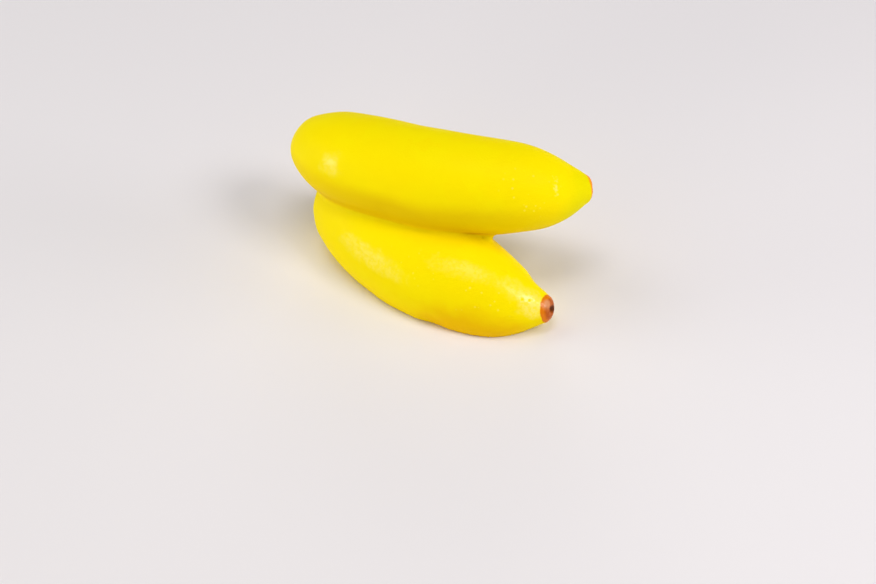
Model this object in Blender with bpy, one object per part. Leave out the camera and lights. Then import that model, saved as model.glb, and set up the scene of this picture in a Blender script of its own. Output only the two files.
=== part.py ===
"""A moulded dessert in the shape of two stubby bananas, one lying on and behind the other.

Both bananas are cast as one body, with a filled valley between them, so they are one solid.
It stands on the flat cut of its base, the only face that isn't rounded.
Run it with: blender --background --python part.py
Units are metres. +X runs towards the tips, +Y away from the front and +Z up, the base is at z = 0.
"""

from dataclasses import dataclass
from math import cos, pi, radians, sin, sqrt

import bmesh
import bpy
from mathutils import Vector


@dataclass
class Banana:
    """Where one banana lies, how it bends and how thick it is."""

    middle: tuple  # centre of the spine
    heading: float  # turn of the spine's middle about +Z, 0 along +X
    climb: float  # slope of the spine's middle towards the tip
    hollow: float  # tilt of the hollow side: 0 faces level to the back, more faces up
    bend: float  # turn of the spine from end to end
    hook: float  # further turn of the spine over its last part
    length: float  # along the spine, with the dome of the tip
    radius: float  # at the thickest place
    slimming: float  # share of the radius that is gone half a length from there
    butt: float  # length of the rounded blunt end
    taper: float  # length that narrows to the tip


# Driving dimensions

BACK_BANANA = Banana(
    middle=(-0.0037, 0.0013, 0.0303),
    heading=radians(-24.8),
    climb=radians(2.9),
    hollow=radians(-15.6),
    bend=radians(66.6),
    hook=radians(1.6),
    length=0.0925,
    radius=0.0141,
    slimming=0.28,
    butt=0.0325,
    taper=0.0204,
)
FRONT_BANANA = Banana(
    middle=(-0.0049, -0.0063, 0.0077),
    heading=radians(-44.0),
    climb=radians(-4.8),
    hollow=radians(13.1),
    bend=radians(38.5),
    hook=radians(5.2),
    length=0.0824,
    radius=0.0158,
    slimming=0.05,
    butt=0.0314,
    taper=0.0425,
)

THICKEST_AT = 0.45  # share of the length, from the blunt end
HOOK_FROM = 0.6  # share of the length where the hook starts
BUTT_SQUARENESS = 2.56  # 2 is an ellipse, more is blunter
TAPER_FULLNESS = 2.7  # 1 is a straight cone, more keeps its thickness longer
TIP_RADIUS = 0.0038
TIP_DOME = 0.55 * TIP_RADIUS  # height of the dome on the tip

TIP_BROWN = 0.0044  # how far the brown reaches from the end of a tip

STATIONS = 60
SIDES = 40
SKIN_CELL = 0.00175  # side of one face of the common skin
VALLEY_REACH = 0.003  # how far from the other banana the valley's filling starts
VALLEY_PASSES = 8  # smoothing passes over the valley

CUTTER_SIZE = 0.2

YELLOW = (0.94, 0.74, 0.008, 1.0)
BROWN = (0.35, 0.09, 0.015, 1.0)
GLAZE_ROUGHNESS = 0.4
TIP_ROUGHNESS = 0.25


def clear_scene():
    """Start from an empty file."""
    for old in list(bpy.data.objects):
        bpy.data.objects.remove(old)


def finish(name, colour, roughness):
    """Material of one colour with a soft shine."""
    material = bpy.data.materials.new(name)
    material.use_nodes = True
    shader = material.node_tree.nodes["Principled BSDF"]
    shader.inputs["Base Color"].default_value = colour
    shader.inputs["Roughness"].default_value = roughness
    shader.inputs["Metallic"].default_value = 0.0
    return material


def clamp(value):
    """Keep a share between 0 and 1."""
    return min(max(value, 0.0), 1.0)


def spine_angle(banana, share):
    """Direction of the spine in its own plane, at this share of its length."""
    hooked = clamp((share - HOOK_FROM) / (1 - HOOK_FROM))
    return banana.bend * (share - 0.5) + banana.hook * hooked**2


def spine_directions(banana):
    """Unit vectors along the spine's middle, to its hollow side, and square to both."""
    along = Vector(
        (
            cos(banana.heading) * cos(banana.climb),
            sin(banana.heading) * cos(banana.climb),
            sin(banana.climb),
        )
    )
    level = Vector((-sin(banana.heading), cos(banana.heading), 0.0))
    raised = along.cross(level)
    hollow = cos(banana.hollow) * level + sin(banana.hollow) * raised
    return along, hollow, along.cross(hollow)


def spine_radius(banana, run):
    """Radius of the banana at this distance along its spine."""
    shoulder = banana.length - TIP_DOME
    if run > shoulder:
        return TIP_RADIUS * sqrt(1 - clamp((run - shoulder) / TIP_DOME) ** 2)
    offset = (run - THICKEST_AT * banana.length) / (banana.length / 2)
    body = banana.radius * (1 - banana.slimming * offset**2)
    rounding = clamp((banana.butt - run) / banana.butt)
    body *= (1 - rounding**BUTT_SQUARENESS) ** (1 / BUTT_SQUARENESS)
    narrowing = clamp((run - (shoulder - banana.taper)) / banana.taper)
    return TIP_RADIUS + (body - TIP_RADIUS) * (1 - narrowing**TAPER_FULLNESS)


def spine_stations(banana):
    """Places along the spine, as (centre, direction to the hollow side, radius)."""
    along, hollow, _ = spine_directions(banana)
    # They lie closer together towards both ends, where the outline turns fastest
    shares = [0.5 - 0.5 * cos(pi * i / STATIONS) for i in range(STATIONS + 1)]
    centres = [Vector((0, 0, 0))]
    for start, end in zip(shares, shares[1:]):
        angle = spine_angle(banana, (start + end) / 2)
        step = (cos(angle) * along + sin(angle) * hollow) * (end - start) * banana.length
        centres.append(centres[-1] + step)
    shift = Vector(banana.middle) - centres[STATIONS // 2]
    stations = []
    for share, centre in zip(shares, centres):
        angle = spine_angle(banana, share)
        inward = cos(angle) * hollow - sin(angle) * along
        stations.append((centre + shift, inward, spine_radius(banana, share * banana.length)))
    return stations


def add_banana(mesh, banana):
    """Loft one closed banana into the mesh: rings round the spine and a point at each end."""
    square = spine_directions(banana)[2]
    stations = spine_stations(banana)
    rings = []
    for centre, inward, radius in stations[1:-1]:
        ring = []
        for side in range(SIDES):
            turn = 2 * pi * side / SIDES
            out = cos(turn) * inward + sin(turn) * square
            ring.append(mesh.verts.new(centre + radius * out))
        rings.append(ring)
    butt = mesh.verts.new(stations[0][0])
    tip = mesh.verts.new(stations[-1][0])
    for side in range(SIDES):
        after = (side + 1) % SIDES
        mesh.faces.new((butt, rings[0][after], rings[0][side]))
        mesh.faces.new((tip, rings[-1][side], rings[-1][after]))
        for near, far in zip(rings, rings[1:]):
            mesh.faces.new((near[side], near[after], far[after], far[side]))


def depth_from(stations, point):
    """Distance of a point from the banana's surface, less than 0 inside it."""
    return min((point - centre).length - radius for centre, _, radius in stations)


def wrap_in_one_skin(pair):
    """Turn the two overlapping shells into one closed skin of even faces."""
    skin = pair.modifiers.new("Common skin", "REMESH")
    skin.mode = "VOXEL"
    skin.voxel_size = SKIN_CELL
    bpy.context.view_layer.objects.active = pair
    bpy.ops.object.modifier_apply(modifier=skin.name)
    pair.data.shade_smooth()


def mark_valley(pair, back, front):
    """Weigh each point of the skin by how near it lies to both bananas at once."""
    group = pair.vertex_groups.new(name="valley")
    for vertex in pair.data.vertices:
        away = max(depth_from(back, vertex.co), depth_from(front, vertex.co))
        group.add([vertex.index], clamp(1 - away / VALLEY_REACH), "REPLACE")
    return group


def colour_tips(pair, ends):
    """Give the faces near the end of each tip the brown material."""
    for face in pair.data.polygons:
        reach = min((Vector(face.center) - end).length for end in ends)
        face.material_index = 1 if reach < TIP_BROWN else 0


def base_cutter():
    """Box whose top is the plane of the base. It takes off what lies below it."""
    bpy.ops.mesh.primitive_cube_add(size=CUTTER_SIZE, location=(0, 0, -CUTTER_SIZE / 2))
    cutter = bpy.context.object
    cutter.name = "base_cutter"
    cutter.display_type = "WIRE"
    cutter.hide_render = True
    return cutter


def banana_pair():
    """Both bananas in one skin, filled at the valley and cut flat underneath."""
    mesh = bmesh.new()
    add_banana(mesh, BACK_BANANA)
    add_banana(mesh, FRONT_BANANA)
    bmesh.ops.recalc_face_normals(mesh, faces=mesh.faces)
    data = bpy.data.meshes.new("banana_pair")
    mesh.to_mesh(data)
    mesh.free()
    pair = bpy.data.objects.new("banana_pair", data)
    bpy.context.collection.objects.link(pair)
    wrap_in_one_skin(pair)

    back = spine_stations(BACK_BANANA)
    front = spine_stations(FRONT_BANANA)
    pair.data.materials.clear()
    pair.data.materials.append(finish("yellow_glaze", YELLOW, GLAZE_ROUGHNESS))
    pair.data.materials.append(finish("brown_tips", BROWN, TIP_ROUGHNESS))
    colour_tips(pair, [back[-1][0], front[-1][0]])

    valley = pair.modifiers.new("Filled valley", "SMOOTH")
    valley.factor = 0.5
    valley.iterations = VALLEY_PASSES
    valley.vertex_group = mark_valley(pair, back, front).name

    base = pair.modifiers.new("Flat base", "BOOLEAN")
    base.operation = "DIFFERENCE"
    base.object = base_cutter()
    return pair


clear_scene()
banana_pair()
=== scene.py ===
# %% [markdown]
# # A moulded dessert in the shape of two bananas
# The dessert is one cast body. Two stubby bananas lie one on the other, frozen together in a
# mould, then sprayed with a smooth yellow coat and touched with brown at both tips.
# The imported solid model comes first, because it gives the frame that every piece is built in:
# metres, +X towards the tips, +Z up, with the flat base at z = 0.

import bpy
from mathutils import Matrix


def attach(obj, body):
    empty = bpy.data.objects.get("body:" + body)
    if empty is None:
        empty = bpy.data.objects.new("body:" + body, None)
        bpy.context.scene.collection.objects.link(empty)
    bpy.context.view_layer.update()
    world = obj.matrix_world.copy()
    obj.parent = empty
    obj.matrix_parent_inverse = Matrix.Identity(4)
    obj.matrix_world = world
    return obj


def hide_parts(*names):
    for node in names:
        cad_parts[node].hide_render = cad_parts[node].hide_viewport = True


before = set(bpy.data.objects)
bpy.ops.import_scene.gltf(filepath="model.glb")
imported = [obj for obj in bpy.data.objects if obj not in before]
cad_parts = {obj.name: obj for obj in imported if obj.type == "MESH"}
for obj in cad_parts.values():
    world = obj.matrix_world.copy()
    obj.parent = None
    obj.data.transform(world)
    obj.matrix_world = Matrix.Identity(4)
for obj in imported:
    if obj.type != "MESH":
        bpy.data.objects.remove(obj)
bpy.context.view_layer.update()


# %% Tools for the shapes and the finishes
from dataclasses import dataclass
from math import cos, pi, radians, sin, sqrt

import bpy
import numpy as np
from mathutils import Matrix, Quaternion, Vector

# %% [markdown]
# ## Where the photograph was taken from
# A shape can only be compared with a photograph through the same lens, so the camera is set
# before anything is modelled. It stands half a metre in front, looks down by about 40 degrees
# through a 90 mm lens, and leans by two and a half degrees.

# %% Camera
EYE = Vector((-0.00146, -0.47987, 0.38639))
LOOKED_AT = Vector((-0.00146, -0.01114, 0.0))
LENS_MM = 90.0
SENSOR_MM = 36.0
LEAN = radians(-2.5)
NEAREST_SEEN = 0.01  # what is nearer to the eye than this is cut off

bpy.ops.object.select_all(action="DESELECT")
bpy.ops.object.camera_add(location=EYE)
camera = bpy.context.object
camera.name = "photo_camera"
camera.rotation_mode = "QUATERNION"
level_view = (LOOKED_AT - EYE).to_track_quat("-Z", "Y")
camera.rotation_quaternion = level_view @ Quaternion((0, 0, 1), LEAN)
camera.data.lens = LENS_MM
camera.data.sensor_width = SENSOR_MM
camera.data.clip_start = NEAREST_SEEN
bpy.context.scene.camera = camera
print("camera:", round((EYE - LOOKED_AT).length, 3), "m away")

# %% [markdown]
# ## The measures of the two bananas
# A banana is a round rod on a bent spine: thick in the middle, blunt at one end and drawn out
# to a small tip at the other. It could be sculpted by eye, but a handful of numbers says all of
# that, and each of them can be fitted to the photograph by itself. So each banana gets one
# record of measures, the same as in the solid model.


# %% Measures
@dataclass
class Banana:
    """Where one banana lies, how it bends and how thick it is."""

    middle: tuple  # centre of the spine
    heading: float  # turn of the spine's middle about +Z, 0 along +X
    climb: float  # slope of the spine's middle towards the tip
    hollow: float  # tilt of the hollow side: 0 faces level to the back
    bend: float  # turn of the spine from end to end
    hook: float  # further turn of the spine over its last part
    length: float  # along the spine, with the dome of the tip
    radius: float  # at the thickest place
    slimming: float  # share of the radius that is gone half a length from there
    butt: float  # length of the rounded blunt end
    taper: float  # length that narrows to the tip


BACK_BANANA = Banana(
    middle=(-0.0037, 0.0013, 0.0303),
    heading=radians(-24.8),
    climb=radians(2.9),
    hollow=radians(-15.6),
    bend=radians(66.6),
    hook=radians(1.6),
    length=0.0925,
    radius=0.0141,
    slimming=0.28,
    butt=0.0325,
    taper=0.0204,
)
FRONT_BANANA = Banana(
    middle=(-0.0049, -0.0063, 0.0077),
    heading=radians(-44.0),
    climb=radians(-4.8),
    hollow=radians(13.1),
    bend=radians(38.5),
    hook=radians(5.2),
    length=0.0824,
    radius=0.0158,
    slimming=0.05,
    butt=0.0314,
    taper=0.0425,
)
THICKEST_AT = 0.45  # share of the length, from the blunt end
HOOK_FROM = 0.6  # share of the length where the hook starts
BUTT_SQUARENESS = 2.56  # 2 is an ellipse, more is blunter
TAPER_FULLNESS = 2.7  # 1 is a straight cone, more keeps its thickness longer
TIP_RADIUS = 0.0038
TIP_DOME = 0.55 * TIP_RADIUS  # height of the brown dome on the tip
print("bananas:", 1000 * BACK_BANANA.length, "and", 1000 * FRONT_BANANA.length, "mm long")

# %% [markdown]
# ## The spine and the thickness along it
# The spine is the line through the middle of a banana. It could be drawn as a curve with
# handles, but its bend is easier to state as a turn at each place along it. It lies in one
# plane, so it is laid out flat first, in the banana's own x and y, and turned into place at the
# end. Each station gives a centre, the way the spine points there and the radius. The stations
# crowd together at both ends, where the outline turns fastest.

# %% Stations along a spine
STATIONS = 60


def clamp(value):
    """Keep a share between 0 and 1."""
    return min(max(value, 0.0), 1.0)


def spine_turn(banana, share):
    """Direction of the spine in its own plane, at this share of its length."""
    hooked = clamp((share - HOOK_FROM) / (1 - HOOK_FROM))
    return banana.bend * (share - 0.5) + banana.hook * hooked**2


def rod_radius(banana, run):
    """Radius of the banana at this distance along its spine."""
    shoulder = banana.length - TIP_DOME
    if run > shoulder:
        return TIP_RADIUS * sqrt(1 - clamp((run - shoulder) / TIP_DOME) ** 2)
    offset = (run - THICKEST_AT * banana.length) / (banana.length / 2)
    body = banana.radius * (1 - banana.slimming * offset**2)
    rounding = clamp((banana.butt - run) / banana.butt)
    body *= (1 - rounding**BUTT_SQUARENESS) ** (1 / BUTT_SQUARENESS)
    narrowing = clamp((run - (shoulder - banana.taper)) / banana.taper)
    return TIP_RADIUS + (body - TIP_RADIUS) * (1 - narrowing**TAPER_FULLNESS)


def stations_of(banana):
    """Places along the spine in its own plane, as (centre, turn, radius)."""
    shares = [0.5 - 0.5 * cos(pi * i / STATIONS) for i in range(STATIONS + 1)]
    centres = [Vector((0, 0, 0))]
    for start, end in zip(shares, shares[1:]):
        turn = spine_turn(banana, (start + end) / 2)
        step = Vector((cos(turn), sin(turn), 0)) * (end - start) * banana.length
        centres.append(centres[-1] + step)
    middle = centres[STATIONS // 2]
    return [
        (centre - middle, spine_turn(banana, share), rod_radius(banana, share * banana.length))
        for share, centre in zip(shares, centres)
    ]


def lie_of(banana):
    """Matrix that carries the spine's own plane to where the banana lies."""
    along = Vector(
        (
            cos(banana.heading) * cos(banana.climb),
            sin(banana.heading) * cos(banana.climb),
            sin(banana.climb),
        )
    )
    level = Vector((-sin(banana.heading), cos(banana.heading), 0.0))
    raised = along.cross(level)
    hollow = cos(banana.hollow) * level + sin(banana.hollow) * raised
    turned = Matrix((along, hollow, along.cross(hollow))).transposed()
    return Matrix.Translation(banana.middle) @ turned.to_4x4()


# %% [markdown]
# ## Pulling a banana from a ring
# A bent, tapering rod could be a curve with a round bevel, but then the taper is a second curve
# that is hard to fit. So it is pulled from one ring of points, as by hand: extrude the ring a
# step forward, turn it to face along the spine, and scale it to the new radius. The same three
# steps repeat up to the tip, where the ring closes to a point. The ring that it all began with
# closes in the same way at the blunt end. Two levels of subdivision then make the skin round.

# %% One pull, and a helper for modifiers
SMALLEST_RING = 1e-6  # a ring with a smaller radius closes to a point


def apply_modifier(piece, name, kind, **settings):
    """Add a modifier with these settings and apply it."""
    modifier = piece.modifiers.new(name, kind)
    for key, value in settings.items():
        setattr(modifier, key, value)
    bpy.context.view_layer.objects.active = piece
    bpy.ops.object.modifier_apply(modifier=modifier.name)


def pull_ring(before, after):
    """Extrude the selected ring from one station to the next."""
    from_centre, from_turn, from_radius = before
    centre, turn, radius = after
    bpy.ops.mesh.extrude_region_move(TRANSFORM_OT_translate={"value": centre - from_centre})
    bpy.ops.transform.rotate(
        value=from_turn - turn,  # without a window a positive angle turns clockwise
        orient_axis="Z",
        center_override=centre,
    )
    if radius > SMALLEST_RING:
        bpy.ops.transform.resize(value=(radius / from_radius,) * 3, center_override=centre)
    else:
        bpy.ops.mesh.merge(type="CENTER")


print("pulls for each banana:", STATIONS)

# %% Pull both bananas
RING_POINTS = 48
AHEAD = pi / 2  # a new circle faces up, and a quarter turn makes it face along x
ROUNDING_LEVELS = 2


def pull_banana(name, banana):
    """Pull one closed banana along its spine and lay it in its place."""
    stations = stations_of(banana)
    centre, turn, radius = stations[1]
    bpy.ops.object.select_all(action="DESELECT")
    bpy.ops.mesh.primitive_circle_add(
        vertices=RING_POINTS, radius=radius, location=centre, rotation=(0, AHEAD, turn)
    )
    rod = bpy.context.object
    rod.name = name
    bpy.ops.object.transform_apply(location=True, rotation=True, scale=True)
    bpy.ops.object.mode_set(mode="EDIT")
    bpy.ops.mesh.select_all(action="SELECT")
    for before, after in zip(stations[1:], stations[2:]):
        pull_ring(before, after)
    bpy.ops.mesh.select_all(action="DESELECT")
    bpy.ops.mesh.select_non_manifold()  # the first ring, the only one still open
    pull_ring(stations[1], stations[0])
    bpy.ops.mesh.select_all(action="SELECT")
    bpy.ops.mesh.normals_make_consistent(inside=False)
    bpy.ops.object.mode_set(mode="OBJECT")
    levels = {"levels": ROUNDING_LEVELS, "render_levels": ROUNDING_LEVELS}
    apply_modifier(rod, "round skin", "SUBSURF", **levels)
    rod.matrix_world = lie_of(banana)
    bpy.ops.object.transform_apply(location=True, rotation=True, scale=True)
    print(name, len(rod.data.vertices), "points")
    return rod


back_rod = pull_banana("back_rod", BACK_BANANA)
front_rod = pull_banana("front_rod", FRONT_BANANA)

# %% [markdown]
# ## One common skin
# The mould holds both bananas as one hollow, so the cast body has one skin. A Boolean union
# could join them, but it leaves long thin faces along the seam, and those don't smooth well. A
# voxel remesh wraps both rods in one closed surface of small even faces and drops what lies
# inside. Its faces are half a millimetre wide, fine enough for the thin edge at the notch. A
# small bead of coat closes the notch to a round web, so it is wrapped in too.

# %% Join and wrap
SKIN_CELL = 0.00046  # side of one face of the common skin
WEB_MIDDLE = Vector((0.0126, -0.0118, 0.0193))
WEB_RADIUS = 0.0017
WEB_SEGMENTS = 32

bpy.ops.object.select_all(action="DESELECT")
bpy.ops.mesh.primitive_uv_sphere_add(
    segments=WEB_SEGMENTS, ring_count=WEB_SEGMENTS // 2, radius=WEB_RADIUS, location=WEB_MIDDLE
)
front_rod.select_set(True)
back_rod.select_set(True)
bpy.context.view_layer.objects.active = back_rod
bpy.ops.object.join()
dessert = bpy.context.object
dessert.name = "banana_dessert"
dessert.data.name = "banana_dessert"

apply_modifier(dessert, "one skin", "REMESH", mode="VOXEL", voxel_size=SKIN_CELL)
print("one skin:", len(dessert.data.polygons), "faces")

# %% [markdown]
# ## The filled valley
# Where the bananas meet, the coat fills the groove to a soft valley, tighter at the notch on
# the right. A bevel would need a row of edges along the seam, and a remesh leaves none.
# Smoothing does it if it works only near the seam, so each point gets a weight: full where it
# touches both bananas, nothing three millimetres away. A few passes over all of the skin take
# off what is left of the remesh's small steps.

# %% Distances and weights

def points_of(piece):
    """Places of all points of a mesh, one row each."""
    places = np.empty(3 * len(piece.data.vertices))
    piece.data.vertices.foreach_get("co", places)
    return places.reshape(-1, 3)


def depth_from(banana, points):
    """Distance of each point from a banana's surface, less than 0 inside it."""
    lie = lie_of(banana)
    depth = np.full(len(points), np.inf)
    for centre, _, radius in stations_of(banana):
        away = np.linalg.norm(points - np.array(lie @ centre), axis=1) - radius
        depth = np.minimum(depth, away)
    return depth


def add_group(piece, name, weights):
    """Vertex group with one weight for each point."""
    group = piece.vertex_groups.new(name=name)
    for index in np.nonzero(weights > 0)[0]:
        group.add([int(index)], float(weights[index]), "REPLACE")
    return group.name


print("points to weigh:", len(dessert.data.vertices))

# %% Smooth the valley
VALLEY_REACH = 0.003  # how far from the other banana the filling starts
VALLEY_PASSES = 40
SKIN_PASSES = 4
SMOOTHING = 0.5  # share of the way to its neighbours that a point moves in each pass

points = points_of(dessert)
away = np.maximum(depth_from(BACK_BANANA, points), depth_from(FRONT_BANANA, points))
valley = add_group(dessert, "valley", np.clip(1 - away / VALLEY_REACH, 0, 1))
apply_modifier(
    dessert,
    "filled valley",
    "SMOOTH",
    factor=SMOOTHING,
    iterations=VALLEY_PASSES,
    vertex_group=valley,
)
apply_modifier(dessert, "even skin", "SMOOTH", factor=SMOOTHING, iterations=SKIN_PASSES)
print("valley:", int((away < VALLEY_REACH).sum()), "points")

# %% [markdown]
# ## Small dents and bulges
# A cast is never as even as its measures. The blunt end has a flatter corner, the back has a
# faint swelling, and the coat has run out a little at the foot. Both tips end in a small pit.
# They could be sculpted with a brush, but a stroke can't be written down in a line. Instead
# each is one soft pull on a single point, with proportional editing on: the skin around it
# follows, less and less up to the reach. Where they sit was read from the outline.

# %% List of the pulls
SOFT_PULLS = (
    # place, move, reach, all in millimetres
    ((-40.0, 26.7, 29.9), (0.44, -0.15, -0.25), 8),  # flatter corner of the blunt end
    ((-24.5, 23.4, 37.7), (0.02, 0.13, 0.18), 8),  # swelling on the back of the blunt end
    ((-3.3, 11.0, 40.9), (-0.05, -0.10, -0.14), 8),  # slight dip in the back
    ((20.5, 2.0, 40.6), (0.06, 0.16, 0.22), 17),  # long swelling along the back
    ((40.2, -3.9, 32.0), (0.22, 0.13, 0.21), 17),  # blunter back tip
    ((35.4, -10.1, 24.4), (0.26, -0.27, -0.32), 12),  # fuller cheek below the back tip
    ((21.8, -12.9, 20.7), (-0.03, 0.24, 0.30), 8),  # flatter underside beside the notch
    ((-5.0, -11.7, 24.5), (0.0, -0.54, -0.65), 14),  # underside sagging onto the front banana
    ((-35.2, 18.2, 14.0), (0.47, -0.07, -0.14), 5),  # waist on the left
    ((-34.6, 9.9, 7.6), (-0.23, -0.05, -0.05), 5),  # blunt end of the front banana
    ((25.3, -21.1, 10.2), (-0.42, -0.20, -0.27), 5),  # dip before the front tip
    ((26.3, -22.5, 9.7), (0.14, 0.07, 0.09), 17),  # gentle swelling around that dip
    ((-16.0, -14.6, 0.0), (-0.18, -0.17, 0.0), 8),  # foot run out on the left
    ((-3.0, -25.2, 0.0), (0.35, 0.52, 0.0), 6),  # foot drawn in, left of its middle
    ((12.6, -30.2, 0.0), (-0.09, -0.59, 0.0), 12),  # foot run out, right of its middle
    ((12.6, -30.2, 0.0), (-0.08, -0.54, 0.0), 17),  # and once more, wider
    ((28.9, -29.0, 6.2), (0.16, -0.12, -0.1), 3.5),  # ring round the pit of the front tip
    ((28.8, -29.1, 6.8), (-0.9, 0.5, -0.1), 1.7),  # the pit itself
    ((41.6, -5.9, 29.8), (-0.8, -0.25, 0.0), 1.5),  # pit of the back tip
    ((20.9, -29.9, 11.6), (-0.01, 0.04, -0.04), 0.8),  # burst bubble beside the front tip
    ((22.9, -29.8, 11.0), (-0.02, 0.04, -0.04), 0.8),  # and its neighbour
    ((38.9, -5.5, 34.0), (0.19, 0.06, 0.2), 5),  # upper corner of the back tip
)
print("soft pulls:", len(SOFT_PULLS))

# %% Pull the skin softly
MM = 0.001


def select_points(piece, chosen):
    """Select these points of a mesh, in object mode, and nothing else."""
    bpy.ops.object.mode_set(mode="EDIT")
    bpy.ops.mesh.select_mode(type="VERT")
    bpy.ops.mesh.select_all(action="DESELECT")
    bpy.ops.object.mode_set(mode="OBJECT")
    piece.data.vertices.foreach_set("select", chosen)


def pull_softly(piece, place, move, reach):
    """Move the point of the skin nearest to a place, and what is around it ever less."""
    distance = np.linalg.norm(points_of(piece) - MM * np.array(place), axis=1)
    select_points(piece, distance <= distance.min())
    bpy.ops.object.mode_set(mode="EDIT")
    bpy.ops.transform.translate(
        value=[MM * part for part in move],
        use_proportional_edit=True,
        proportional_edit_falloff="SMOOTH",
        proportional_size=MM * reach,
    )
    bpy.ops.object.mode_set(mode="OBJECT")


for place, move, reach in SOFT_PULLS:
    pull_softly(dessert, place, move, reach)
low, high = points_of(dessert).min(axis=0), points_of(dessert).max(axis=0)
print("pulled skin:", [round(float(side), 1) for side in (high - low) / MM], "mm")

# %% [markdown]
# ## The flat base
# The mould is open at the bottom, and the dessert stands on the level cut there. A Boolean with
# a box could take off what is below, but it leaves slivers where it meets such small faces. So
# the row of points nearest to the level is pressed onto it first, and then a bisect cuts. Faces
# that the press laid flat go too, and the one open loop that is left is filled. The edge of the
# base stays sharp, because its faces meet there at more than the smoothing angle.

# %% Cut the base
PRESS_REACH = SKIN_CELL / 2  # points nearer to the level than this are pressed onto it
ON_BASE = 1e-6  # points lower than this lie on the base
SMOOTH_BELOW = radians(50)  # faces that meet at less than this are shaded smooth

select_points(dessert, np.abs(points_of(dessert)[:, 2]) < PRESS_REACH)
bpy.ops.object.mode_set(mode="EDIT")
bpy.ops.transform.resize(value=(1, 1, 0), center_override=(0, 0, 0))
bpy.ops.mesh.select_all(action="SELECT")
bpy.ops.mesh.bisect(plane_co=(0, 0, 0), plane_no=(0, 0, 1), clear_inner=True)
bpy.ops.object.mode_set(mode="OBJECT")
select_points(dessert, points_of(dessert)[:, 2] < ON_BASE)
bpy.ops.object.mode_set(mode="EDIT")
bpy.ops.mesh.select_mode(type="FACE")  # keeps the faces whose points are all selected
bpy.ops.mesh.delete(type="FACE")
bpy.ops.mesh.select_mode(type="VERT")
bpy.ops.mesh.select_all(action="DESELECT")
bpy.ops.mesh.select_non_manifold()
bpy.ops.mesh.fill()
bpy.ops.mesh.select_all(action="SELECT")
bpy.ops.mesh.normals_make_consistent(inside=False)
bpy.ops.object.mode_set(mode="OBJECT")
bpy.ops.object.shade_smooth_by_angle(angle=SMOOTH_BELOW)
print("cut:", len(dessert.data.polygons), "faces")

# %% [markdown]
# ## Where shade is painted on
# Painted shade deepens the yellow on what faces down, where less light reaches, and near the
# seam, where light that enters the groove bounces from yellow to yellow before it comes out. An
# Ambient Occlusion node could find such places, but not tell the two apart. So each point gets
# two values, how far it faces down and how near it lies to the seam, and the material reads
# them.
# Both fade where the photograph shows less of them: towards the ends of the underside, beside
# the web, and on the side of the groove that still sees the light.

# %% Values at each point


def store_values(piece, name, values):
    """Keep one number for each point of the mesh, for a material to read."""
    layer = piece.data.attributes.new(name, "FLOAT", "POINT")
    layer.data.foreach_set("value", values)


def upward_parts(piece):
    """Upward part of the direction in which each point of a mesh faces."""
    directions = np.empty(3 * len(piece.data.vertices))
    piece.data.vertices.foreach_get("normal", directions)
    return directions.reshape(-1, 3)[:, 2]


def soften(share):
    """Round both ends of a share that runs from 0 to 1."""
    share = np.clip(share, 0, 1)
    return share**2 * (3 - 2 * share)


print("points that face down:", int((upward_parts(dessert) < 0).sum()))

# %% Measure the painted shade on the underside and in the groove
GROOVE_REACH = 0.007  # how far from the seam the groove's painted shade starts
SUNLIT_AT = (-0.030, 0.002)  # places along x, on the side of the groove that faces up
SUNLIT_GROOVE = (0.08, 0.45)  # share of the groove's painted shade at each of them
WEB_REACH = 0.0055  # how far from the web the groove's painted shade is back in full
FACES_UP = 0.30  # upward part of a direction where the underside's painted shade starts
FACES_DOWN = -0.08  # and where it is at its deepest
SEAM_BLEND = 0.003  # width over which the underside's painted shade ends at the front banana
PAST_SEAM = 0.3  # share of that tone that is left on the seam itself, before softening
FADE_AT = (-0.042, -0.026, -0.012, 0.014, 0.036)  # places along x
UNDERSIDE_SHADE_SHARE = (0.4, 0.75, 1.15, 0.6, 0.1)  # share of the underside's painted shade at each of them

points = points_of(dessert)
from_back, from_front = depth_from(BACK_BANANA, points), depth_from(FRONT_BANANA, points)
underside_shade = soften((FACES_UP - upward_parts(dessert)) / (FACES_UP - FACES_DOWN))
underside_shade *= soften((from_front - from_back) / SEAM_BLEND + PAST_SEAM)
groove_shade = soften(1 - np.maximum(from_back, from_front) / GROOVE_REACH)
sunlit = np.interp(points[:, 0], SUNLIT_AT, SUNLIT_GROOVE)
groove_shade *= sunlit + (1 - sunlit) * underside_shade
groove_shade *= soften(np.linalg.norm(points - np.array(WEB_MIDDLE), axis=1) / WEB_REACH)
underside_shade *= np.interp(points[:, 0], FADE_AT, UNDERSIDE_SHADE_SHARE)
store_values(dessert, "groove_shade", groove_shade)
store_values(dessert, "underside_shade", underside_shade)
print("underside:", int((underside_shade > 0.5).sum()), "points")

# %% [markdown]
# ## The coat's material and a small kit for it
# A finish is a chain of nodes. It could be laid out by hand in the Shader Editor, but this coat
# needs about 160 of them, so a few helpers keep the chains short. One makes a node and
# feeds it. The others calculate with two numbers, turn a range of numbers into a share from 0
# to 1, mix two colours, or make a noise or a relief. All patterns read Object coordinates, so
# they stay on the dessert in any view.

# %% Material and its first helpers
coat = bpy.data.materials.new("yellow_coat")
coat.use_nodes = True
coat_tree = coat.node_tree
shader = coat_tree.nodes["Principled BSDF"]


def feed(socket, value):
    """Set a socket to a value, or join it to another node's output."""
    if isinstance(value, bpy.types.NodeSocket):
        coat_tree.links.new(value, socket)
    else:
        socket.default_value = value


def add_node(kind, inputs, **settings):
    """Node of one kind, with its settings, and its inputs by name or number."""
    node = coat_tree.nodes.new(kind)
    for key, value in settings.items():
        setattr(node, key, value)
    for key, value in inputs.items():
        feed(node.inputs[key], value)
    return node


print("material:", coat.name)

# %% Helpers for numbers and colours


def calculate(operation, first, second):
    """Result of one operation on two numbers."""
    return add_node("ShaderNodeMath", {0: first, 1: second}, operation=operation).outputs[0]


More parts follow.
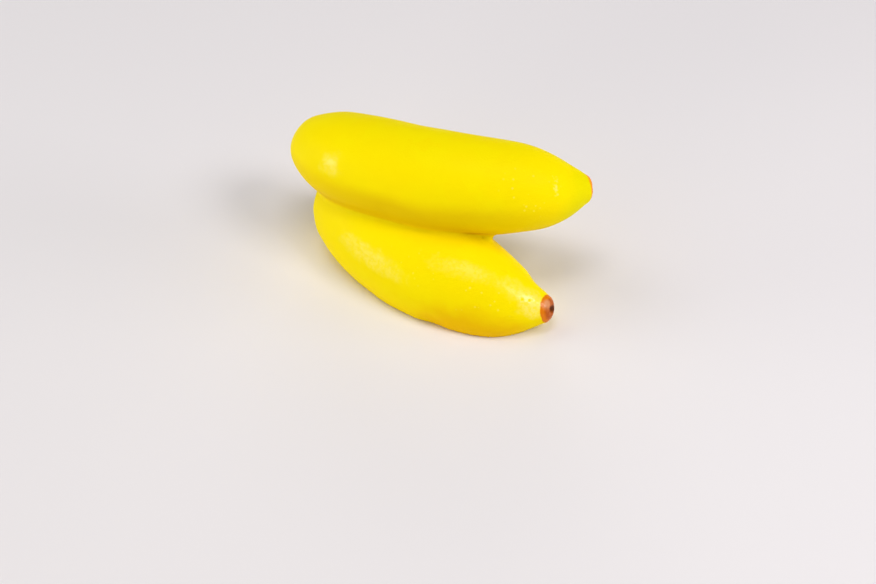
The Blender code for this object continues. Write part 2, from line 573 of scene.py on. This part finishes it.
def larger(first, second):
    """The larger of two numbers."""
    return calculate("MAXIMUM", first, second)


def both(first, second):
    """Product of two numbers. Of two shares it is high only where both are."""
    return calculate("MULTIPLY", first, second)


def share_of(value, low, high, start=0.0, end=1.0):
    """Smooth share that runs from start to end while a value runs from low to high."""
    limits = {"Value": value, "From Min": low, "From Max": high, "To Min": start, "To Max": end}
    node = add_node("ShaderNodeMapRange", limits, interpolation_type="SMOOTHSTEP")
    return node.outputs["Result"]


def mix_colours(share, first, second):
    """First colour at share 0, second at share 1."""
    # A Mix node has sockets for each kind of data, and these are the ones for colours
    inputs = {0: share, 6: first, 7: second}
    return add_node("ShaderNodeMix", inputs, data_type="RGBA").outputs[2]


print("helpers for numbers and colours are ready")

# %% Helpers for patterns
place = add_node("ShaderNodeTexCoord", {}).outputs["Object"]
height = add_node("ShaderNodeSeparateXYZ", {"Vector": place}).outputs["Z"]


def add_noise(scale, detail, seed):
    """Soft noise between 0 and 1. The scale is in cells for each metre."""
    inputs = {"Vector": place, "W": seed, "Scale": scale, "Detail": detail}
    return add_node("ShaderNodeTexNoise", inputs, noise_dimensions="4D").outputs["Fac"]


def noise_share(pattern, start=0.0, end=1.0):
    """Share from a noise: start at the pattern's first limit, end at its second."""
    scale, detail, seed, low, high = pattern
    return share_of(add_noise(scale, detail, seed), low, high, start, end)


def add_bump(relief, depth, inputs):
    """Relief of this depth in metres, with the node's further inputs by name."""
    inputs = {"Height": relief, "Distance": depth, "Strength": 1.0, **inputs}
    return add_node("ShaderNodeBump", inputs).outputs["Normal"]


def value_of(name):
    """Value that the mesh keeps for each of its points."""
    return add_node("ShaderNodeAttribute", {}, attribute_name=name).outputs["Fac"]


print("helpers for patterns are ready")

# %% [markdown]
# ## The yellow coat
# The coat is coloured cocoa butter, sprayed on a frozen mousse. Its yellow wanders a little
# from place to place, with crisper patches where the spray dried unevenly. Painted shade makes
# it deeper on the underside and in the groove, and painted warm reflected light with shade, in
# ochre, shows at the foot. All this could be painted on a picture, but noise has no seams and
# stays crisp from near by. So each of these is one share from 0 to 1 that mixes the next colour
# in.

# %% Colour of the coat
YELLOW = (0.935, 0.765, 0.0008, 1.0)
DEEP_YELLOW = (0.94, 0.71, 0.0008, 1.0)
# painted shade on what faces down
UNDERSIDE_SHADE_YELLOW = (0.81, 0.565, 0.0008, 1.0)
# painted shade in the groove
GROOVE_SHADE_YELLOW = (0.76, 0.50, 0.0008, 1.0)
# painted warm reflected light with shade, at the foot and low on the front
BOUNCE_OCHRE = (0.88, 0.525, 0.001, 1.0)
# Each pattern: cells for each metre, detail, seed, then the limits of its share
WANDER = (60.0, 3.0, 2.0, 0.35, 0.7)
PATCHES = (130.0, 4.0, 1.0, 0.47, 0.57)
BLOTCHES = (140.0, 2.0, 5.0, 0.3, 0.7)
WANDER_DEPTH = 0.5  # largest share of deep yellow
PATCH_DEPTH = 0.35  # the same for the crisper patches
BLOTCH_DEPTH = 0.5  # share of the foot's painted reflection that is left between the blotches
FOOT_HEIGHT = 0.006  # where the painted reflection of the foot starts
FOOT_BOUNCE = 0.25  # its share at the very edge

uneven_yellow = larger(
    noise_share(WANDER, 0.0, WANDER_DEPTH), noise_share(PATCHES, 0.0, PATCH_DEPTH)
)
colour = mix_colours(uneven_yellow, YELLOW, DEEP_YELLOW)
# painted shade on the underside and in the groove
colour = mix_colours(value_of("underside_shade"), colour, UNDERSIDE_SHADE_YELLOW)
colour = mix_colours(value_of("groove_shade"), colour, GROOVE_SHADE_YELLOW)
# painted warm reflected light with shade at the foot, broken into blotches
foot_bounce = share_of(height, FOOT_HEIGHT, 0.0, 0.0, FOOT_BOUNCE)
colour = mix_colours(both(foot_bounce, noise_share(BLOTCHES, BLOTCH_DEPTH)), colour, BOUNCE_OCHRE)
print("coat:", len(coat_tree.nodes), "nodes")

# %% [markdown]
# ## Painted light and shade in a few places
# Three marks paint light and shade into the coat: warm reflected light with shade low on the
# front, a darker, greener shade at the back tip, and a brown line of shade in the deepest fold
# beside the web. A mark could be painted on an image too, but a stretched ball of influence
# needs only a few numbers, and they can be read from the photograph. A Mapping node puts the
# ball's middle at zero, turns x along it and makes its skin one unit away, so the length of
# what comes out says how near a point is. Noise added to that length makes the edge uneven.

# %% Balls of influence
BALL_GONE = 1.65  # distance with the edge's noise at which a ball has no share
BALL_FULL = 0.85  # and at which it has its full share


def seen_from(middle, along, half_sizes=(1, 1, 1)):
    """Places seen from a middle, with x along a direction, counted in half sizes."""
    inputs = {
        "Vector": place,
        "Location": MM * Vector(middle),
        "Rotation": Vector(along).to_track_quat("X", "Z").to_euler(),
        "Scale": half_sizes,
    }
    return add_node("ShaderNodeMapping", inputs, vector_type="TEXTURE").outputs["Vector"]


def distance_from(middle, along=(1, 0, 0), half_sizes=(1, 1, 1)):
    """Distance from a middle, in metres or in the half sizes of a ball."""
    away = seen_from(middle, along, half_sizes)
    return add_node("ShaderNodeVectorMath", {0: away}, operation="LENGTH").outputs["Value"]


def ball_share(ball, edge):
    """Share that has a ball's strength well inside it and is 0 outside its uneven edge."""
    middle, along, half_length, half_width, strength = ball
    half_sizes = (MM * half_length, MM * half_width, MM * half_width)
    uneven = calculate("ADD", distance_from(middle, along, half_sizes), edge)
    return share_of(uneven, BALL_GONE, BALL_FULL, 0.0, strength)


print("a ball's soft edge is", round(BALL_GONE - BALL_FULL, 2), "of its half size wide")

# %% Painted reflection and shade: low on the front, at the back tip and in the fold
# Each ball: middle, direction it runs in, half length and half width, with the middle and both
# sizes in millimetres, then its strength
# painted warm reflected light with shade, low on the front
LOW_BOUNCE = ((5.5, -30.0, 2.0), (0.93, -0.37, 0.0), 17.0, 7.8, 0.9)
# painted shade at the back tip, darker and greener
BACK_TIP_SHADE = ((40.0, -8.0, 28.5), (1.0, 0.0, 0.0), 9.0, 9.0, 1.0)
# painted shade in the deepest fold beside the web
FOLD_SHADE = ((10.6, -13.9, 22.1), (0.98, 0.0, -0.06), 5.2, 0.9, 0.6)
BACK_TIP_SHADE_YELLOW = (0.82, 0.71, 0.0008, 1.0)
FOLD_SHADE_BROWN = (0.58, 0.30, 0.0008, 1.0)
SOFT_EDGE = (120.0, 2.0, 13.0)  # cells for each metre, detail and seed
SOFT_EDGE_DEPTH = 0.8  # how far the noise can push the edge in, in half sizes

soft_edge = both(add_noise(*SOFT_EDGE), SOFT_EDGE_DEPTH)
# each mark mixes painted light or shade into the coat's colour
for ball, painted_light_colour in ((LOW_BOUNCE, BOUNCE_OCHRE), (BACK_TIP_SHADE, BACK_TIP_SHADE_YELLOW), (FOLD_SHADE, FOLD_SHADE_BROWN)):
    colour = mix_colours(ball_share(ball, soft_edge), colour, painted_light_colour)
print("marks:", len(coat_tree.nodes), "nodes")

# %% [markdown]
# ## Rubbed patches with a painted highlight, and painted glints
# Where the dessert slid out of the mould or was touched, the skin is rubbed to a brighter
# gloss, in long ragged patches along the bananas, and each patch also gets a painted highlight,
# a paler yellow. Noise alone would put them anywhere, so balls of influence place them, and a
# finer noise only breaks them up. A second ball bites one of them to a crescent, and two burst
# bubbles stay unrubbed. Small painted glints, pale specks, lie around them, at most one in each
# cell of a Voronoi pattern, and an arc of close painted glints lies near the back tip.

# %% Rubbed patches with a painted highlight
# painted highlight: the paler yellow of the rubbed patches and the glints
HIGHLIGHT_YELLOW = (0.98, 0.83, 0.14, 1.0)
HIGHLIGHT_SHARE = 0.8  # share of the painted highlight's colour in the middle of a patch
CRESCENT = ((-29.2, 3.0, 35.0), (0.6, -0.4, 0.3), 5.2, 4.2, 0.45)
BITE = ((-25.4, 0.6, 35.8), (1.0, 0.0, 0.0), 3.2, 3.2, 1.0)
RUBBED_HIGHLIT = (
    ((-19.2, -12.0, 13.9), (0.68, -0.73, -0.06), 15.5, 3.7, 0.42),
    ((5.0, -23.9, 17.9), (0.94, -0.31, -0.13), 12.5, 3.0, 0.30),
    ((20.5, -28.4, 12.7), (0.82, -0.29, -0.49), 9.0, 3.4, 0.45),
    ((23.3, -30.2, 10.0), (0.82, -0.29, -0.49), 5.6, 4.3, 1.0),
    ((26.6, -30.0, 9.1), (0.0, 0.4, 1.0), 2.2, 1.5, 0.75),  # glazed spot on the front tip, with a painted highlight
)
RAGGED_EDGE = (450.0, 4.0, 7.0)
RAGGED_EDGE_DEPTH = 1.2
BROKEN_SKIN = (1000.0, 3.0, 9.0, 0.62, 0.42)
BROKEN = 0.35  # what is left of a patch's strength where its skin is broken up
BUBBLES = ((20.9, -29.9, 11.6), (22.9, -29.8, 11.0))  # burst ones, beside the front tip
BUBBLE_RADIUS = 0.0006
BUBBLE_CORE = 0.4 * BUBBLE_RADIUS  # nothing is rubbed nearer to its middle than this

ragged_edge = both(add_noise(*RAGGED_EDGE), RAGGED_EDGE_DEPTH)
beside_bite = calculate("SUBTRACT", 1.0, ball_share(BITE, soft_edge))
rubbed_and_highlit = both(ball_share(CRESCENT, ragged_edge), beside_bite)
for patch in RUBBED_HIGHLIT:
    rubbed_and_highlit = larger(rubbed_and_highlit, ball_share(patch, ragged_edge))
rubbed_and_highlit = both(rubbed_and_highlit, noise_share(BROKEN_SKIN, BROKEN))
for bubble in BUBBLES:
    rubbed_and_highlit = both(rubbed_and_highlit, share_of(distance_from(bubble), BUBBLE_CORE, BUBBLE_RADIUS))
print("rubbed patches:", len(RUBBED_HIGHLIT) + 1)

# %% Painted glints
SPECK_CELL = 0.0022  # width of the cells that hold one speck each
SPECK_GONE = 0.27  # distance from the middle of a cell, in cells, where its speck ends
SPECK_FULL = 0.14  # and where it is at its palest
SPECK_WAVE = 0.12  # how much the ragged edge's noise changes that distance
GLINT_PATCHES = (
    ((4.0, -25.5, 13.5), (0.8, -0.58, -0.15), 26.0, 6.5, 0.35),
    ((23.0, -15.5, 36.5), (0.9, 0.0, -0.4), 10.0, 8.0, 0.4),
)
GLINT_ARC = ((31.2, -13.2, 36.2), (0.0, -0.65, -0.75), 6.2, 1.8, 0.9)
GLINT_ARC_EDGE = (1300.0, 2.0, 5.0)
GLINT_ARC_EDGE_DEPTH = 2.4

# painted glints: pale specks, at most one in each cell
cells = add_node("ShaderNodeTexVoronoi", {"Vector": place, "Scale": 1 / SPECK_CELL})
from_middle = calculate("ADD", cells.outputs["Distance"], both(ragged_edge, SPECK_WAVE))
glint_specks = share_of(from_middle, SPECK_GONE, SPECK_FULL)
glint_patches = larger(ball_share(GLINT_PATCHES[0], ragged_edge), ball_share(GLINT_PATCHES[1], ragged_edge))
glint_arc_edge = both(add_noise(*GLINT_ARC_EDGE), GLINT_ARC_EDGE_DEPTH)
glint_specks = larger(both(glint_specks, glint_patches), ball_share(GLINT_ARC, glint_arc_edge))
# painted highlights, from the rubbed patches and the glints
painted_highlights = larger(both(rubbed_and_highlit, HIGHLIGHT_SHARE), glint_specks)
colour = mix_colours(painted_highlights, colour, HIGHLIGHT_YELLOW)
print("specks:", len(coat_tree.nodes), "nodes")

# %% [markdown]
# ## The brown tips
# Each tip was dipped by hand, a little askew, so the brown ends in a crisp line that isn't
# square to the banana. It is orange at the line, redder further out and dark in the pit, and
# the front tip has a painted highlight, a pinkish patch. A tip could be a piece of its own, but
# the real one is only a colour on the same body, so it stays a share in the same material. Seen
# from the middle of the line, with x out of the tip, the x of a point says how far past the
# line it is. Noise makes the line a little uneven.

# %% Colours and places of the tips
BACK_ORANGE = (0.95, 0.33, 0.004, 1.0)
FRONT_ORANGE = (0.74, 0.19, 0.001, 1.0)
TIP_RED = (0.48, 0.095, 0.004, 1.0)
PIT_BROWN = (0.11, 0.023, 0.002, 1.0)
# painted highlight on the front tip, a pinkish patch
TIP_HIGHLIGHT_PINK = (0.76, 0.32, 0.14, 1.0)
TIP_HIGHLIGHT = ((27.4, -29.3, 8.9), (0.2, 0.3, 1.0), 2.3, 1.6, 0.85)
TIP_LINES = (
    # middle of the line, way the cap faces, middle of the pit, and how far past the line
    # the red starts, all in millimetres, then the colour at the line
    ((40.5, -6.7, 31.5), (0.926, 0.374, -0.054), (41.4, -5.0, 29.8), 1.1, BACK_ORANGE),
    ((26.3, -29.8, 8.0), (0.866, -0.448, 0.221), (29.2, -28.5, 6.8), 0.7, FRONT_ORANGE),
)
LINE_NOISE = (420.0, 2.0, 3.0)
LINE_WAVE = 0.0005  # how far the noise can move the line
LINE_SOFTNESS = 0.00015  # half the width over which yellow turns to brown
RED_BLEND = 0.0007  # width over which orange turns to red
TIP_REACH = 0.007  # how far from the middle of its line a cap can lie
PIT_RADIUS = 0.0016  # where the pit starts to darken
PIT_CORE = 0.0004  # and where it is at its darkest
print("tips to dip:", len(TIP_LINES))

# %% Dip the tips
wave = both(add_noise(*LINE_NOISE), LINE_WAVE)
# painted pinkish highlight on the front tip
tip_highlight = ball_share(TIP_HIGHLIGHT, ragged_edge)
brown = 0.0
for line, facing, pit_middle, red_from, orange in TIP_LINES:
    past = add_node("ShaderNodeSeparateXYZ", {"Vector": seen_from(line, facing)}).outputs["X"]
    past = calculate("SUBTRACT", calculate("ADD", past, wave), LINE_WAVE / 2)
    near = calculate("LESS_THAN", distance_from(line), TIP_REACH)
    cap = both(near, share_of(past, -LINE_SOFTNESS, LINE_SOFTNESS))
    red = share_of(past, MM * red_from, MM * red_from + RED_BLEND)
    pit = share_of(distance_from(pit_middle), PIT_RADIUS, PIT_CORE)
    tip_colour = mix_colours(red, orange, TIP_RED)
    tip_colour = mix_colours(tip_highlight, tip_colour, TIP_HIGHLIGHT_PINK)
    tip_colour = mix_colours(pit, tip_colour, PIT_BROWN)
    colour = mix_colours(cap, colour, tip_colour)
    brown = larger(brown, cap)
print("tips:", len(coat_tree.nodes), "nodes")

# %% [markdown]
# ## The bare base
# The mould is open at the bottom, so no coat gets there. The flat cut shows the cream mousse
# with its small open pores, right up to the edge. It could be a second material on that face,
# but a share of the height needs no slot, because only the cut lies at zero.

# %% Colour of the base
CREAM = (0.86, 0.66, 0.30, 1.0)
COAT_FROM = 0.00006  # height above which there is only coat
BARE_BELOW = 0.00001  # and below which there is only bare mousse
OPEN_PORES = (900.0, 2.0, 12.0, 0.3, 0.45)
PORE_CREAM = 0.75  # share of the cream's colour in a pore

bare = both(share_of(height, COAT_FROM, BARE_BELOW), noise_share(OPEN_PORES, PORE_CREAM))
colour = mix_colours(bare, colour, CREAM)
feed(shader.inputs["Base Color"], colour)
print("base:", len(coat_tree.nodes), "nodes")

# %% [markdown]
# ## Shine and grain
# The coat sets to a satin skin that mirrors very little by itself. Only the rubbed patches and
# the tips are glazed smooth, so the long highlights show there. A lower roughness alone would
# make them sharp but no brighter, so the glaze is a second layer on top. The grain is a bump of
# a few hundredths of a millimetre, because real points for it would be far too many. It lies
# over a broader unevenness that breaks the highlights.

# %% Shine and grain
GLOSS = (90.0, 2.0, 8.0, 0.3, 0.7)
SMOOTHEST = 0.42  # the roughness of the satin wanders from here
ROUGHEST = 0.52  # to here
TIP_ROUGHNESS = 0.24
TIP_GLAZE = 0.35  # weight of the second layer on the tips
GLAZE_ROUGHNESS = 0.27
MIRRORING = 0.02  # a twenty-fifth of what Blender gives a new material
BROAD_NOISE = (130.0, 2.0, 4.0)
BROAD_DEPTH = 0.00022
GRAIN_NOISE = (1900.0, 1.0, 6.0)
GRAIN_DEPTH = 0.00004

satin = noise_share(GLOSS, SMOOTHEST, ROUGHEST)
roughness = add_node("ShaderNodeMix", {0: brown, 2: satin, 3: TIP_ROUGHNESS}).outputs[0]
feed(shader.inputs["Roughness"], roughness)
broad = add_bump(add_noise(*BROAD_NOISE), BROAD_DEPTH, {})
grain = add_bump(add_noise(*GRAIN_NOISE), GRAIN_DEPTH, {"Normal": broad})
feed(shader.inputs["Normal"], grain)
feed(shader.inputs["Coat Normal"], grain)
feed(shader.inputs["Coat Weight"], larger(rubbed_and_highlit, both(brown, TIP_GLAZE)))
shader.inputs["Coat Roughness"].default_value = GLAZE_ROUGHNESS
shader.inputs["Specular IOR Level"].default_value = MIRRORING

dessert.data.materials.clear()
dessert.data.materials.append(coat)

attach(dessert, "root")
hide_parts("banana_pair")
print("finished coat:", len(coat_tree.nodes), "nodes")

# %% [markdown]
# ## Floor and light
# A plain pale floor takes a soft shadow and gives light back to the underside. One bright sky
# could light it all, but then nothing would shine. So the world is dim, and three large
# softboxes make the soft highlights: one high above, one on the right and one low on the left.
# Four more only fill the shadows, and the coat doesn't mirror them. The left one is a little
# greenish and the low front one is warm, as the light in the photograph is.

# %% Floor
FLOOR_SIZE = 6.0
FLOOR_HEIGHT = -0.0001  # just below the base, so that both can't lie in one plane
FLOOR_COLOUR = (0.84, 0.80, 0.82, 1.0)
FLOOR_ROUGHNESS = 0.9

bpy.ops.object.select_all(action="DESELECT")
bpy.ops.mesh.primitive_plane_add(size=FLOOR_SIZE, location=(0, 0, FLOOR_HEIGHT))
floor = bpy.context.object
floor.name = "pale_floor"
floor_paint = bpy.data.materials.new("pale_floor")
floor_paint.use_nodes = True
floor_shader = floor_paint.node_tree.nodes["Principled BSDF"]
floor_shader.inputs["Base Color"].default_value = FLOOR_COLOUR
floor_shader.inputs["Roughness"].default_value = FLOOR_ROUGHNESS
floor.data.materials.append(floor_paint)
print("floor:", FLOOR_SIZE, "m wide")

# %% Dim world
WORLD_STRENGTH = 0.16

world = bpy.data.worlds.new("soft_room")
bpy.context.scene.world = world
world.use_nodes = True
background = world.node_tree.nodes["Background"]
background.inputs["Color"].default_value = (1, 1, 1, 1)
background.inputs["Strength"].default_value = WORLD_STRENGTH
print("world strength:", WORLD_STRENGTH)

# %% Softboxes
LIT_PLACE = Vector((0, 0, 0.02))  # what every lamp looks at, halfway up
LAMP_DISTANCE = 0.8
WHITE = (1, 1, 1)
WARM = (1, 0.95, 0.8)
GREENISH = (0.95, 1, 0.92)
SOFTBOXES = {
    # azimuth, elevation, size, power, colour, whether the coat mirrors it
    "top_softbox": (0, 78, (0.40, 0.30), 1.86, WHITE, True),
    "right_softbox": (54, 46, (0.27, 0.27), 2.25, WHITE, True),
    "low_right_softbox": (78, 12, (0.40, 0.30), 2.0, WHITE, False),
    "left_softbox": (-93, 9, (0.45, 0.25), 1.85, GREENISH, True),
    "low_front_softbox": (-40, 8, (0.40, 0.30), 1.65, WARM, False),
    "high_left_softbox": (-110, 55, (0.40, 0.40), 1.0, WHITE, False),
    "back_softbox": (180, 15, (0.40, 0.30), 1.3, WHITE, False),
}


def add_softbox(name, azimuth, elevation, size, power, colour, mirrored):
    """Area lamp that looks at the dessert. Azimuth 0 is in front, 90 to the right."""
    turn, rise = radians(azimuth), radians(elevation)
    way = Vector((sin(turn) * cos(rise), -cos(turn) * cos(rise), sin(rise)))
    bpy.ops.object.select_all(action="DESELECT")
    bpy.ops.object.light_add(type="AREA", location=LIT_PLACE + LAMP_DISTANCE * way)
    lamp = bpy.context.object
    lamp.name = name
    lamp.rotation_mode = "QUATERNION"
    lamp.rotation_quaternion = (-way).to_track_quat("-Z", "Y")
    lamp.data.shape = "RECTANGLE"
    lamp.data.size, lamp.data.size_y = size
    lamp.data.energy = power
    lamp.data.color = colour
    lamp.visible_glossy = mirrored


for name, settings in SOFTBOXES.items():
    add_softbox(name, *settings)

bpy.context.scene.view_settings.view_transform = "Standard"
print("softboxes:", len(SOFTBOXES))
